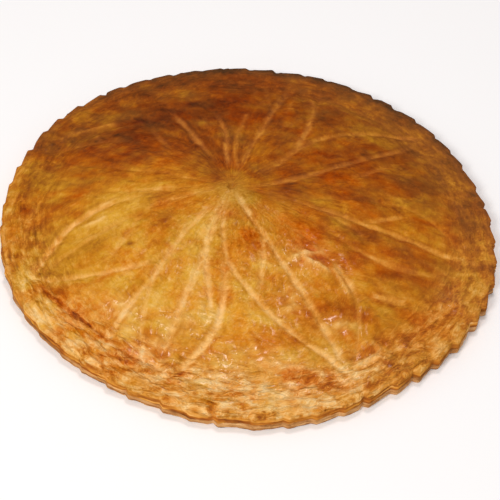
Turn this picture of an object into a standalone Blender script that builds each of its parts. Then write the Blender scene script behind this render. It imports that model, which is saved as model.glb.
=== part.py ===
"""Apple galette: a whole round puff pastry pie with a low peaked lid, scored in a rosette of eight leaves.

Metres, +Z up. The front of the pie faces -Y. The origin is at the middle of its flat underside.
The lid's height is one function of x and y: a dome over the filling, a flat rim, a soft swelling between
the cuts, and a V cut along every line of the rosette. The edge is nicked all round and shows its layers.
"""
import math
from collections import namedtuple

import bmesh
import bpy
import numpy as np
from mathutils import Vector
from mathutils.geometry import delaunay_2d_cdt

for old_object in list(bpy.data.objects):
    bpy.data.objects.remove(old_object, do_unlink=True)

MM = 0.001
TURN = 2.0 * math.pi

# ---- Driving dimensions -------------------------------------------------------------------------------
RADIUS = 129.8 * MM             # to the tips of the nicked edge
RIM_HEIGHT = 9.4 * MM           # the two sheets of pastry pressed together at the edge
DOME_RISE = 24.0 * MM           # the hub of the rosette above the rim
DOME_FOOT = 111.0 * MM          # radius at which the dome runs out into the rim
DOME_POWER = 1.6                # 1 would be a cone, 2 a round dome
HUB = (-11.0 * MM, 1.5 * MM)    # the rosette's hub lies off the middle of the pie

CUT_WIDTH = 2.6 * MM            # across the lips of a cut
CUT_DEPTH = 1.2 * MM
CUT_ENDS = 8.0                  # a cut runs out over one part in this many of its length, at each end
SWELL = 1.0 * MM                # rise of the pastry between the cuts
SWELL_REACH = 5.0 * MM          # how fast it rises away from a cut
FOLD_WIDTH = 6.0 * MM           # soft folds at the foot of the dome
FOLD_DEPTH = 1.5 * MM
VENT_RADIUS = 1.7 * MM          # steam hole at the hub
VENT_DEPTH = 2.5 * MM
RIM_DROOP = 2.2 * MM            # how far the rim's top falls towards the edge
DROOP_WIDTH = 7.5 * MM          # the width of rim over which it falls
RIM_CRAGS = 0.5 * MM            # broken edges of the layers on the rim
CRAG_START = 103.0 * MM         # radius where they begin
CRAG_BLEND = 10.0 * MM          # and the width over which they reach full height
LAYER_RELIEF = 0.4 * MM         # how far each layer wavers in and out at the side
UNDERCUT = 2.6 * MM             # the underside is narrower than the edge
BUCKLE = 0.45 * MM              # slow unevenness of the lid
# Its plane waves: radians per metre along X and Y, and phase
BUCKLE_WAVES = ((61.0, 12.0, 0.4), (-23.0, 47.0, 2.1), (38.0, -71.0, 4.4), (97.0, 64.0, 1.3),
                (-88.0, 109.0, 5.2))

# Slow wobble of the edge, as (waves round the pie, height, bearing of a crest in degrees)
EDGE_WAVES = ((1, 0.6 * MM, 268.0), (3, 0.5 * MM, 38.0), (4, 0.5 * MM, 346.0), (5, 0.8 * MM, 348.0),
              (6, 0.4 * MM, 336.0))
NICKS = 54                      # knife nicks round the edge
NICK_WANDER = 0.14              # how far a nick strays from its even place, as a share of the pitch
NICK_DEPTH = 1.5 * MM
NICK_SPREAD = (0.45, 1.35)      # the shallowest and the deepest nick, as shares of that depth
ROUGH_DEPTH = 1.6 * MM          # added on the front right, where the edge is roughest
ROUGH_BEARING = 328.0           # the middle of that stretch, in degrees
ROUGH_WIDTH = 32.0              # its half width, in degrees
# One nick: how far along its pitch each point is, and how far out it stands
NICK_PROFILE = ((0.0, 0.0), (0.16, 1.0), (0.45, 0.62), (0.73, 0.34))

# The rosette's leaves, in degrees and millimetres. Each leaf has three cuts from the hub to its tip: its
# right border, its rib and its left border, seen from the hub. A cut is pushed sideways by so many
# millimetres (+ is to the left), most at the share of the leaf's length given after it.
Leaf = namedtuple("Leaf", "bearing length right right_peak rib rib_peak left left_peak")
LEAVES = (
    Leaf(303.5, 122.0, -25.0, 0.42, -1.2, 0.22, 25.0, 0.60),
    Leaf(254.6, 122.0, -17.0, 0.55, 2.2, 0.60, 22.0, 0.66),
    Leaf(209.5, 112.0, -22.0, 0.58, -6.5, 0.45, 26.3, 0.42),
    Leaf(161.0, 114.0, -22.0, 0.60, 2.5, 0.50, 20.0, 0.55),
    Leaf(116.5, 114.0, -19.5, 0.60, 0.5, 0.50, 18.0, 0.52),
    Leaf(75.0, 122.0, -21.5, 0.45, 3.0, 0.62, 13.0, 0.66),
    Leaf(36.5, 131.0, -17.0, 0.50, -8.4, 0.27, 19.0, 0.64),
    Leaf(352.0, 127.0, -22.0, 0.70, 0.6, 0.30, 24.0, 0.72),
)
BORDER_SPAN = (0.13, 0.985)     # shares of the leaf's length between which its borders are cut
RIB_SPAN = (0.055, 0.93)

# Side veins: the leaf's number, side (+1 left), the shares of its length where the vein starts and ends,
# and how far towards the border it reaches
Vein = namedtuple("Vein", "leaf side start end reach")
VEINS = (
    Vein(0, -1, 0.29, 0.51, 0.75),
    Vein(1, +1, 0.34, 0.60, 0.74),
    Vein(2, +1, 0.42, 0.64, 0.60),
    Vein(2, -1, 0.60, 0.73, 0.35),
    Vein(4, +1, 0.35, 0.52, 0.70),
    Vein(5, -1, 0.40, 0.60, 0.62),
    Vein(6, +1, 0.36, 0.58, 0.72),
    Vein(7, -1, 0.33, 0.56, 0.45),
    Vein(7, +1, 0.54, 0.70, 0.66),
)

# Cuts outside the leaves, and folds at the foot of the dome: the bearing in degrees and the radius in
# millimetres of each one's two ends, from the middle of the pie
Arc = namedtuple("Arc", "bearing radius end_bearing end_radius")
STRAY_CUTS = (Arc(231.8, 77.6, 235.3, 110.7), Arc(321.2, 84.6, 327.3, 96.3), Arc(70.3, 86.0, 73.3, 114.0))
FOLDS = (Arc(209.0, 114.0, 235.0, 109.0), Arc(281.0, 110.0, 298.0, 118.0), Arc(152.0, 110.0, 134.0, 94.0),
         Arc(183.0, 115.0, 201.0, 120.0))
ARC_POINTS = 8

# ---- Fineness of the mesh -----------------------------------------------------------------------------
CUT_STEP = 4.6 * MM             # spacing of points along a cut
SKIN_STEP = 5.6 * MM            # spacing of points between the cuts
SKIN_JITTER = 0.18              # how far they stray, as a share of that spacing
CUT_MARGIN = 3.8 * MM           # how far they stay from the bottom of a cut
EDGE_MARGIN = 3.0 * MM          # and from the edge
HUB_MARGIN = 5.0 * MM           # and from the hub
VENT_RINGS = ((0.6, 6), (1.6, 8))   # rings of points round the vent: radius as a share of its own, and count
# The rings of the side: height as a share of the rim's, and inset as a share of UNDERCUT
SIDE_RINGS = ((0.94, 0.24), (0.82, 0.0), (0.67, 0.34), (0.52, 0.06), (0.37, 0.40), (0.22, 0.10), (0.07, 0.42),
              (0.0, 1.0))
MERGE_MM = 0.08                 # points nearer than this become one
SHARP_ANGLE = math.radians(40.0)
EDGE_SEED = 7
SKIN_SEED = 21


def peaked(share, peak):
    """A hump: 0 where share is 0 or 1, and 1 where share is peak."""
    power = math.log(0.5) / math.log(peak)
    return np.sin(math.pi * share ** power)


def leaf_points(leaf, share, sideways):
    """Points at shares of a leaf's length, moved to its left by so many millimetres."""
    bearing = math.radians(leaf.bearing)
    along = (math.cos(bearing), math.sin(bearing))
    left = (-along[1], along[0])
    return np.array(HUB) + np.outer(share * leaf.length * MM, along) + np.outer(sideways * MM, left)


def shares(leaf, start, end):
    """Even steps of about CUT_STEP between two shares of a leaf's length."""
    count = math.ceil((end - start) * leaf.length * MM / CUT_STEP) + 2
    return np.linspace(start, end, count)


def leaf_cuts(leaf):
    """A leaf's right border, rib and left border."""
    border = shares(leaf, *BORDER_SPAN)
    rib = shares(leaf, *RIB_SPAN)
    return [
        leaf_points(leaf, border, leaf.right * peaked(border, leaf.right_peak)),
        leaf_points(leaf, rib, leaf.rib * peaked(rib, leaf.rib_peak)),
        leaf_points(leaf, border, leaf.left * peaked(border, leaf.left_peak)),
    ]


def vein_cut(vein):
    """A side vein: it leaves the rib and swings out evenly towards the border."""
    leaf = LEAVES[vein.leaf]
    width, peak = (leaf.left, leaf.left_peak) if vein.side > 0 else (leaf.right, leaf.right_peak)
    share = shares(leaf, vein.start, vein.end)
    swing = np.linspace(0.0, vein.reach, len(share))
    rib = leaf.rib * peaked(share, leaf.rib_peak)
    return leaf_points(leaf, share, rib + swing * (width * peaked(share, peak) - rib))


def arc_points(arc):
    """A stray cut or a fold: its bearing and radius change evenly from one end to the other."""
    bearing = np.radians(np.linspace(arc.bearing, arc.end_bearing, ARC_POINTS))
    radius = np.linspace(arc.radius, arc.end_radius, ARC_POINTS) * MM
    return np.stack((radius * np.cos(bearing), radius * np.sin(bearing)), axis=1)


def rosette():
    """All the cuts of the lid, each an array of points."""
    cuts = [cut for leaf in LEAVES for cut in leaf_cuts(leaf)]
    cuts += [vein_cut(vein) for vein in VEINS]
    cuts += [arc_points(arc) for arc in STRAY_CUTS]
    return cuts


def distance_to_paths(points, paths):
    """Distance from each point to the nearest path, and that path's depth there: 0 at its ends, 1 between."""
    nearest = np.full(len(points), 2.0 * RADIUS)
    strength = np.zeros(len(points))
    rows = np.arange(len(points))
    for path in paths:
        runs = path[1:] - path[:-1]
        offsets = points[:, None, :] - path[None, :-1, :]
        travel = np.clip((offsets * runs).sum(axis=2) / (runs * runs).sum(axis=1), 0.0, 1.0)
        gaps = np.linalg.norm(offsets - travel[:, :, None] * runs, axis=2)
        pick = gaps.argmin(axis=1)
        share = (pick + travel[rows, pick]) / len(runs)
        ends = np.clip(np.minimum(share, 1.0 - share) * CUT_ENDS, 0.0, 1.0)
        closer = gaps[rows, pick] < nearest
        nearest = np.where(closer, gaps[rows, pick], nearest)
        strength = np.where(closer, ends, strength)
    return nearest, strength


def nicked_edge():
    """Bearing and radius of each point of the edge: a wobbling circle with a nick at every pitch.

    A nick has a steep side, a tip and a slow run back to the next nick."""
    randomness = np.random.default_rng(EDGE_SEED)
    pitch = TURN / NICKS
    bearings = []
    depths = []
    for nick in range(NICKS):
        start = pitch * (nick + randomness.uniform(-NICK_WANDER, NICK_WANDER))
        swing = (math.degrees(start) - ROUGH_BEARING + 180.0) % 360.0 - 180.0
        depth = NICK_DEPTH * randomness.uniform(*NICK_SPREAD)
        depth += ROUGH_DEPTH * math.exp(-((swing / ROUGH_WIDTH) ** 2))
        for along, out in NICK_PROFILE:
            bearings.append(start + along * pitch)
            depths.append(depth * (1.0 - out))
    bearings = np.array(bearings)
    radii = RADIUS - np.array(depths)
    for waves, size, crest in EDGE_WAVES:
        radii += size * np.cos(waves * (bearings - math.radians(crest)))
    return bearings, radii


BEARINGS, RADII = nicked_edge()
EDGE = np.stack((RADII * np.cos(BEARINGS), RADII * np.sin(BEARINGS)), axis=1)


def room_to_edge(points):
    """How far each point lies inside the edge, along its own radius."""
    bearing = np.arctan2(points[:, 1], points[:, 0]) % TURN
    return np.interp(bearing, BEARINGS, RADII, period=TURN) - np.hypot(points[:, 0], points[:, 1])


def dome_height(points):
    """Rim height plus the dome, whose centre slides from the hub at its top to the origin at its foot."""
    share = np.clip(np.hypot(points[:, 0], points[:, 1]) / DOME_FOOT, 0.0, 1.0)
    for _ in range(3):
        centre = np.outer(1.0 - share, HUB)
        share = np.clip(np.linalg.norm(points - centre, axis=1) / DOME_FOOT, 0.0, 1.0)
    return RIM_HEIGHT + DOME_RISE * (1.0 - share ** DOME_POWER)


def lid_height(points, cuts, folds):
    """Dome and slow buckling, plus the swelling between cuts, less the cuts, folds, vent and rim's droop."""
    gap, depth = distance_to_paths(points, cuts)
    fold_gap, fold_depth = distance_to_paths(points, folds)
    height = dome_height(points)
    for along_x, along_y, phase in BUCKLE_WAVES:
        height += BUCKLE / len(BUCKLE_WAVES) * np.sin(points @ (along_x, along_y) + phase)
    height += SWELL * (1.0 - np.exp(-gap / SWELL_REACH))
    height -= CUT_DEPTH * depth * np.clip(1.0 - gap / (CUT_WIDTH / 2.0), 0.0, 1.0)
    height -= FOLD_DEPTH * fold_depth * np.exp(-((fold_gap / (FOLD_WIDTH / 2.0)) ** 2))
    hub_gap = np.linalg.norm(points - HUB, axis=1)
    height -= VENT_DEPTH * np.clip(1.6 - hub_gap / VENT_RADIUS, 0.0, 1.0)
    height -= RIM_DROOP * np.clip(1.0 - room_to_edge(points) / DROOP_WIDTH, 0.0, 1.0) ** 2
    return height


def lips(cut):
    """The two lips of a cut, either side of its bottom, without its ends."""
    runs = np.gradient(cut, axis=0)
    runs /= np.linalg.norm(runs, axis=1)[:, None]
    side = np.stack((-runs[:, 1], runs[:, 0]), axis=1) * (CUT_WIDTH / 2.0)
    return (cut + side)[1:-1], (cut - side)[1:-1]


def skin_points(cuts, randomness):
    """Points between the cuts: a jittered triangular grid, clear of the cuts, the edge and the hub."""
    rows = np.arange(-RADIUS, RADIUS, SKIN_STEP * math.sqrt(0.75))
    columns = np.arange(-RADIUS, RADIUS, SKIN_STEP)
    x, y = np.meshgrid(columns, rows)
    x[1::2] += SKIN_STEP / 2.0
    points = np.stack((x.ravel(), y.ravel()), axis=1)
    points += randomness.uniform(-SKIN_JITTER, SKIN_JITTER, points.shape) * SKIN_STEP
    clear = (distance_to_paths(points, cuts)[0] > CUT_MARGIN) & (room_to_edge(points) > EDGE_MARGIN)
    return points[clear & (np.linalg.norm(points - HUB, axis=1) > HUB_MARGIN)]


def ring_round_hub(radius, count):
    """Points evenly round the hub."""
    bearing = np.arange(count) * TURN / count
    return np.array(HUB) + radius * np.stack((np.cos(bearing), np.sin(bearing)), axis=1)


def lid_triangles(cuts, skin):
    """Triangulate the lid so that its edges follow the pie's edge and the bottom and lips of every cut.

    Gives the corners, the triangles, and which corner each point of the edge became."""
    groups = [EDGE, skin] + [ring_round_hub(share * VENT_RADIUS, count) for share, count in VENT_RINGS]
    links = [(i, (i + 1) % len(EDGE)) for i in range(len(EDGE))]
    first = sum(len(group) for group in groups)
    for cut in cuts:
        for line in (cut, *lips(cut)):
            groups.append(line)
            links += [(first + i, first + i + 1) for i in range(len(line) - 1)]
            first += len(line)
    flat = [Vector(point) for point in (np.concatenate(groups) / MM).tolist()]
    found, _, triangles, sources, _, _ = delaunay_2d_cdt(flat, links, [], 0, MERGE_MM, True)
    corners = np.array([tuple(corner) for corner in found]) * MM
    triangles = np.array([tuple(triangle) for triangle in triangles])
    place = {source: corner for corner, merged in enumerate(sources) for source in merged}

    # Triangles that bridge a nick lie outside the edge and are dropped.
    inside = room_to_edge(corners[triangles].mean(axis=1)) > 0.0
    return corners, triangles[inside], [place[i] for i in range(len(EDGE))]


def build_galette():
    """One closed mesh: the scored lid, the layered side and the flat underside."""
    randomness = np.random.default_rng(SKIN_SEED)
    cuts = rosette()
    folds = [arc_points(arc) for arc in FOLDS]
    corners, triangles, upper = lid_triangles(cuts, skin_points(cuts, randomness))
    height = lid_height(corners, cuts, folds)
    crags = np.clip((np.linalg.norm(corners, axis=1) - CRAG_START) / CRAG_BLEND, 0.0, 1.0)
    height += RIM_CRAGS * crags * randomness.uniform(-1.0, 1.0, len(corners))

    # The side goes down in rings from the lid's edge to the underside, each layer standing in or out.
    vertices = [np.column_stack((corners, height))]
    faces = triangles.tolist()
    edge_height = height[upper]
    outward = EDGE / RADII[:, None]
    count = len(EDGE)
    for level, inset in SIDE_RINGS:
        waver = LAYER_RELIEF * randomness.uniform(-1.0, 1.0, count)
        radius = RADII - UNDERCUT * inset + waver
        start = sum(len(group) for group in vertices)
        vertices.append(np.column_stack((outward * radius[:, None], edge_height * level)))
        lower = list(range(start, start + count))
        faces += [(upper[i], lower[i], lower[(i + 1) % count], upper[(i + 1) % count]) for i in range(count)]
        upper = lower
    faces.append(upper[::-1])

    # The origin is moved to the middle of the box round the pie.
    vertices = np.concatenate(vertices)
    vertices[:, :2] -= (vertices[:, :2].max(axis=0) + vertices[:, :2].min(axis=0)) / 2.0

    mesh = bpy.data.meshes.new("galette")
    mesh.from_pydata(vertices.tolist(), [], faces)
    work = bmesh.new()
    work.from_mesh(mesh)
    bmesh.ops.delete(work, geom=[vertex for vertex in work.verts if not vertex.link_faces], context="VERTS")
    bmesh.ops.triangulate(work, faces=work.faces[:])
    bmesh.ops.recalc_face_normals(work, faces=work.faces[:])
    work.to_mesh(mesh)
    work.free()
    mesh.shade_smooth()
    mesh.set_sharp_from_angle(angle=SHARP_ANGLE)
    return mesh


def baked_pastry():
    """Egg-washed puff pastry, golden brown and half glossy."""
    material = bpy.data.materials.new("baked_pastry")
    material.use_nodes = True
    shader = material.node_tree.nodes["Principled BSDF"]
    shader.inputs["Base Color"].default_value = (0.56, 0.24, 0.045, 1.0)
    shader.inputs["Roughness"].default_value = 0.38
    shader.inputs["Metallic"].default_value = 0.0
    return material


galette = bpy.data.objects.new("galette", build_galette())
galette.data.materials.append(baked_pastry())
bpy.context.scene.collection.objects.link(galette)
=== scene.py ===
import math
from collections import namedtuple

import bpy
import numpy as np
from mathutils import Matrix, Vector


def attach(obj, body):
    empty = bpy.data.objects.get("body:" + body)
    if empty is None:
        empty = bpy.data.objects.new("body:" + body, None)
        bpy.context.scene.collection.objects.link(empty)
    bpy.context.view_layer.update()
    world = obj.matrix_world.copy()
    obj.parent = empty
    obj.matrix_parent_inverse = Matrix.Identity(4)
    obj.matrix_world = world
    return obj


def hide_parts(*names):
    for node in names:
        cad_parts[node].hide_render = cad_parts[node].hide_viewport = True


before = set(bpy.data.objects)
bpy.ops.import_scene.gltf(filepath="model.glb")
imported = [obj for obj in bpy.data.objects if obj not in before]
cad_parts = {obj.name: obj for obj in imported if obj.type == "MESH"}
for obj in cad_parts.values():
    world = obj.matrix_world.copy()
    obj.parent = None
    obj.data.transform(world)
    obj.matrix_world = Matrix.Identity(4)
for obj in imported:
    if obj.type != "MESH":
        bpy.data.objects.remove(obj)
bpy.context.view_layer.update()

# ---- The lid ------------------------------------------------------------------------------------------
# The upper sheet of puff pastry, laid over the apple filling and pressed down round it: a low peaked dome
# with a flat rim. A knife point scored a rosette of eight leaves in it before it was brushed with egg.
# In the oven the skin swelled between the cuts, blistered, and browned most at the back; part of that darker
# back is painted shade on the side that faces away from the light.

MM = 0.001
TURN = 2.0 * math.pi

# Sizes are in millimetres and bearings in degrees unless a comment says otherwise
RADIUS = 129.8  # to the tips of the nicked edge
RIM_HEIGHT = 9.4
DOME_RISE = 24.0  # the hub of the rosette above the rim
DOME_FOOT = 111.0
DOME_POWER = 1.6  # 1 would be a cone, 2 a round dome
HUB = (-11.0, 1.5)
FOLD_WIDTH = 6.0  # soft folds at the foot of the dome
FOLD_DEPTH = 1.5
VENT_RADIUS = 1.7  # steam hole at the hub
VENT_DEPTH = 2.5
RIM_DROOP = 2.2  # how far the rim's top falls towards the edge in front
MEAN_DROOP = 0.65  # the share of that by which it falls at the sides
DROOP_WIDTH = 7.5
BUCKLE = 0.45  # slow unevenness of the lid
# Its plane waves: radians per metre along x and y, and phase
BUCKLE_WAVES = ((61.0, 12.0, 0.4), (-23.0, 47.0, 2.1), (38.0, -71.0, 4.4), (97.0, 64.0, 1.3),
                (-88.0, 109.0, 5.2))
# Slow wobble of the edge: waves round the pie, height and the bearing of a crest
EDGE_WAVES = ((1, 0.6, 268.0), (3, 0.5, 38.0), (4, 0.5, 346.0), (5, 0.8, 348.0), (6, 0.4, 336.0))
NICKS = 54  # knife nicks round the edge
NICK_WANDER = 0.14  # from its even place, as a share of the pitch
NICK_DEPTH = 1.5
NICK_SPREAD = (0.45, 1.35)  # the shallowest and the deepest, as shares
ROUGH_DEPTH = 1.6  # added at the front right, where the edge is roughest
ROUGH_BEARING = 328.0
ROUGH_WIDTH = 32.0
NICK_PROFILE = ((0.0, 0.0), (0.16, 1.0), (0.45, 0.62), (0.73, 0.34))  # share of the pitch, and how far out
EDGE_SEED = 7
FRONT = math.radians(262.0)  # where the skin flakes and blisters most
BACK = math.radians(75.0)  # where the edge is burnt most

# Each leaf's right border, rib and left border, seen from the hub, are its axis pushed to the left by so many
# millimetres, most at the share of its length that is given next. They run between two shares of it.
Leaf = namedtuple("Leaf", "bearing length right right_peak rib rib_peak left left_peak")
LEAVES = (
    Leaf(303.5, 122, -25, 0.42, -1.2, 0.22, 25, 0.6),
    Leaf(254.6, 122, -17, 0.55, 2.2, 0.6, 22, 0.66),
    Leaf(209.5, 112, -22, 0.58, -6.5, 0.45, 26.3, 0.42),
    Leaf(161, 114, -22, 0.6, 2.5, 0.5, 20, 0.55),
    Leaf(116.5, 114, -19.5, 0.6, 0.5, 0.5, 18, 0.52),
    Leaf(75, 122, -21.5, 0.45, 3, 0.62, 13, 0.66),
    Leaf(36.5, 131, -17, 0.5, -8.4, 0.27, 19, 0.64),
    Leaf(352, 127, -22, 0.7, 0.6, 0.3, 24, 0.72),
)
BORDER_SPAN = (0.13, 0.985)
RIB_SPAN = (0.055, 0.93)
# Side veins, to the left (+1) or right of a rib: where they start and end along the leaf, and how far they
# reach towards its border
Vein = namedtuple("Vein", "leaf side start end reach")
VEINS = (
    Vein(0, -1, 0.29, 0.51, 0.75),
    Vein(1, +1, 0.34, 0.6, 0.74),
    Vein(2, +1, 0.42, 0.64, 0.6),
    Vein(2, -1, 0.6, 0.73, 0.35),
    Vein(4, +1, 0.35, 0.52, 0.7),
    Vein(5, -1, 0.4, 0.6, 0.62),
    Vein(6, +1, 0.36, 0.58, 0.72),
    Vein(7, -1, 0.33, 0.56, 0.45),
    Vein(7, +1, 0.54, 0.7, 0.66),
)
# Cuts outside the leaves, and folds at the dome's foot: bearing and radius of their ends
Arc = namedtuple("Arc", "bearing radius end_bearing end_radius")
STRAY_CUTS = (Arc(231.8, 77.6, 235.3, 110.7), Arc(321.2, 84.6, 327.3, 96.3), Arc(70.3, 86, 73.3, 114))
FOLDS = (Arc(209, 114, 235, 109), Arc(281, 110, 298, 118), Arc(152, 110, 134, 94),
         Arc(183, 115, 201, 120))

# How a leaf's three cuts show: clear from start to end and faint beyond, and their width as a share of the
# usual. Veins and stray cuts have only clearness and width.
Show = namedtuple("Show", "start end clear faint width")
SHOWS = [[Show(*row) for row in rows] for rows in (
    ((0.6, 1, 0.95, 0.6, 1), (0, 0.3, 1, 0.75, 1.1), (0.46, 0.66, 0.85, 0.1, 0.9)),
    ((0, 0.5, 0.42, 0.3, 0.9), (0.12, 0.85, 0.48, 0.2, 1.4), (0.46, 1, 1, 0.3, 1.35)),
    ((0.48, 1, 1, 0.15, 1.3), (0.6, 0.85, 0.3, 0.15, 1.2), (0.46, 1, 0.45, 0.12, 0.9)),
    ((0.5, 0.9, 0.15, 0.05, 1), (0.1, 0.6, 0.2, 0.05, 1), (0.1, 0.33, 0.45, 0.05, 1)),
    ((0.02, 0.5, 0.85, 0.1, 0.9), (0.27, 0.7, 0.95, 0.1, 1), (0.35, 0.5, 0.6, 0.05, 0.9)),
    ((0.05, 0.62, 0.45, 0, 1), (0.15, 0.93, 0.62, 0.2, 1), (0, 0.2, 0.15, 0.05, 0.8)),
    ((0.48, 0.66, 0.45, 0, 1), (0.1, 0.9, 0.72, 0.25, 1), (0.15, 1, 0.55, 0.2, 1.1)),
    ((0.45, 0.82, 0.35, 0.1, 1), (0.3, 1, 0.75, 0.15, 1), (0.6, 0.8, 0.15, 0.1, 1)),
)]
VEIN_SHOWS = ((0.3, 1), (0.75, 1.05), (0.2, 0.9), (0, 1), (0.05, 1), (0.2, 0.8), (0.05, 1),
              (0.4, 1), (0.42, 0.9))
STRAY_SHOWS = ((0.45, 1.1), (0.75, 1), (0.1, 1))

CELLS = 256  # random numbers along each side of a noise's table
OCTAVE_HEIGHT = 0.55  # each octave's height as a share of the one before
Grain = namedtuple("Grain", "amount long wide seed octaves")
Bubbles = namedtuple("Bubbles", "long wide least more seed")  # at most one in each cell, so long and wide


def unit(value):
    """The value, held between 0 and 1."""
    return np.clip(value, 0.0, 1.0)


def noise(x, y, seed, wrap=CELLS):
    """Random heights from -1 to 1 at whole x and y, blended smoothly between them. x repeats after wrap."""
    lattice = np.random.default_rng(seed).uniform(-1.0, 1.0, (CELLS, CELLS))
    column, row = np.floor(x).astype(int), np.floor(y).astype(int)
    across, up = x - column, y - row
    across, up = across * across * (3.0 - 2.0 * across), up * up * (3.0 - 2.0 * up)
    near, far = column % wrap, (column + 1) % wrap
    low = lattice[near, row % CELLS] * (1.0 - across) + lattice[far, row % CELLS] * across
    high = lattice[near, (row + 1) % CELLS] * (1.0 - across) + lattice[far, (row + 1) % CELLS] * across
    return low * (1.0 - up) + high * up


def rough(x, y, seed, octaves, wrap=CELLS):
    """Noise with finer noise added, each octave twice as fine and a little over half as high."""
    heights = [OCTAVE_HEIGHT ** k for k in range(octaves)]
    return sum(heights[k] * noise(x * 2 ** k, y * 2 ** k, seed + k, min(CELLS, wrap * 2 ** k))
               for k in range(octaves)) / sum(heights)


def grained(x, y, grain):
    """Rough noise up to an amount, in grains so many millimetres long, along x, and wide, along y."""
    return grain.amount * rough(x / grain.long, y / grain.wide, grain.seed, grain.octaves)


def spots(x, y, seed):
    """One spot strewn in each unit square, a tenth of it or more from its sides: the distance to the nearest
    spot, and two random numbers from 0 to 1 that belong to it."""
    tables = np.random.default_rng(seed).uniform(0.0, 1.0, (4, CELLS, CELLS))
    column, row = np.floor(x).astype(int), np.floor(y).astype(int)
    nearest, first, second = np.full(x.shape, np.inf), np.zeros(x.shape), np.zeros(x.shape)
    for i in (-1, 0, 1):
        for j in (-1, 0, 1):
            key = ((column + i) % CELLS, (row + j) % CELLS)
            spot_x, spot_y = column + i + 0.1 + 0.8 * tables[0][key], row + j + 0.1 + 0.8 * tables[1][key]
            gap = np.hypot(spot_x - x, spot_y - y)
            closer = gap < nearest
            nearest = np.where(closer, gap, nearest)
            first = np.where(closer, tables[2][key], first)
            second = np.where(closer, tables[3][key], second)
    return nearest, first, second


def capped(x, y, bubbles):
    """A round cap from 0 to 1 at the spot in each cell, and the spot's two random numbers. Its radius in
    cells is at least so much, and more by the second number."""
    size, first, second = spots(x / bubbles.long, y / bubbles.wide, bubbles.seed)
    return unit(1.0 - (size / (bubbles.least + bubbles.more * second)) ** 2), first, second


def hump(share, peak):
    """0 where share is 0 or 1, and 1 where share is peak: a half sine of a power of the share."""
    power = math.log(0.5) / math.log(peak)
    return np.sin(math.pi * unit(share) ** power)


def ends_clear(share, steep, least=0.0):
    """1 along a line, and falling to the least at both its ends, as steeply as said."""
    return unit(np.minimum(share, 1.0 - share) * steep + least)


def leaf_places(x, y, leaf):
    """Where points lie on a leaf: the share of its length along its axis, and the millimetres to its left."""
    bearing = math.radians(leaf.bearing)
    east, north = x - HUB[0], y - HUB[1]
    along = east * math.cos(bearing) + north * math.sin(bearing)
    return along / leaf.length, north * math.cos(bearing) - east * math.sin(bearing)


def overrun_by(share, length, start=0.0, end=1.0):
    """How far points overrun the start or the end share of a line of a length."""
    return np.maximum(0.0, np.maximum(start - share, share - end)) * length


def chord_places(x, y, start, end):
    """The share of points along the line from start to end, how far they are to its left, the way along it,
    and its length."""
    run = np.subtract(end, start)
    length = math.hypot(*run)
    share = ((x - start[0]) * run[0] + (y - start[1]) * run[1]) / length ** 2
    return share, ((y - start[1]) * run[0] - (x - start[0]) * run[1]) / length, run, length


def arc_places(x, y, arc):
    """How far points lie to the left of an arc round the pie's middle and overrun its ends, and their share
    along it: all from the chord between its ends, with the arc's sag added to the first."""
    start, end = (radius * np.array((math.cos(math.radians(bearing)), math.sin(math.radians(bearing))))
                  for bearing, radius in ((arc.bearing, arc.radius), (arc.end_bearing, arc.end_radius)))
    share, side, run, length = chord_places(x, y, start, end)
    mean = 0.5 * (arc.radius + arc.end_radius)
    sag = length ** 2 / (8.0 * mean) * 4.0 * share * (1.0 - share)
    turn = math.copysign(1.0, start[0] * run[1] - start[1] * run[0])
    return side + turn * sag * (np.abs(share - 0.5) < 0.5), overrun_by(share, length), share


SLOPE_STEP = 0.01  # the share of a leaf over which a slope is measured
SHOW_FADE = 0.12  # the share of a cut where faint turns to clear


def cut_list(x, y):
    """For each cut: how far points lie to its left and overrun its ends, their share along it, how clearly it
    shows there, and its width. A leaf's cut is its axis pushed sideways by a hump, and a vein swings from the
    rib towards the border. Their distances are the sideways ones, shortened by the slope."""
    for leaf, shows in zip(LEAVES, SHOWS):
        share, side = leaf_places(x, y, leaf)
        for bulge, peak, span, show in ((leaf.right, leaf.right_peak, BORDER_SPAN, shows[0]),
                                        (leaf.rib, leaf.rib_peak, RIB_SPAN, shows[1]),
                                        (leaf.left, leaf.left_peak, BORDER_SPAN, shows[2])):
            rise = bulge * (hump(share + SLOPE_STEP, peak) - hump(share - SLOPE_STEP, peak))
            slope = rise / (2.0 * SLOPE_STEP * leaf.length)
            offset = (side - bulge * hump(share, peak)) / np.hypot(1.0, slope)
            overrun = overrun_by(share, leaf.length, *span)
            along = (share - span[0]) / (span[1] - span[0])
            inside = unit(np.minimum(along - show.start, show.end - along) / SHOW_FADE + 0.5)
            yield offset, overrun, along, show.faint + (show.clear - show.faint) * inside, show.width
    for vein, show in zip(VEINS, VEIN_SHOWS):
        leaf = LEAVES[vein.leaf]
        width, peak = (leaf.left, leaf.left_peak) if vein.side > 0 else (leaf.right, leaf.right_peak)
        share, side = leaf_places(x, y, leaf)
        length = (vein.end - vein.start) * leaf.length
        place = (share - vein.start) / (vein.end - vein.start)
        rib = leaf.rib * hump(share, leaf.rib_peak)
        target = rib + vein.reach * place * (width * hump(share, peak) - rib)
        offset = (side - target) / math.hypot(1.0, vein.reach * width / length)
        yield offset, overrun_by(place, length), place, *show
    for arc, show in zip(STRAY_CUTS, STRAY_SHOWS):
        yield *arc_places(x, y, arc), *show


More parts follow.
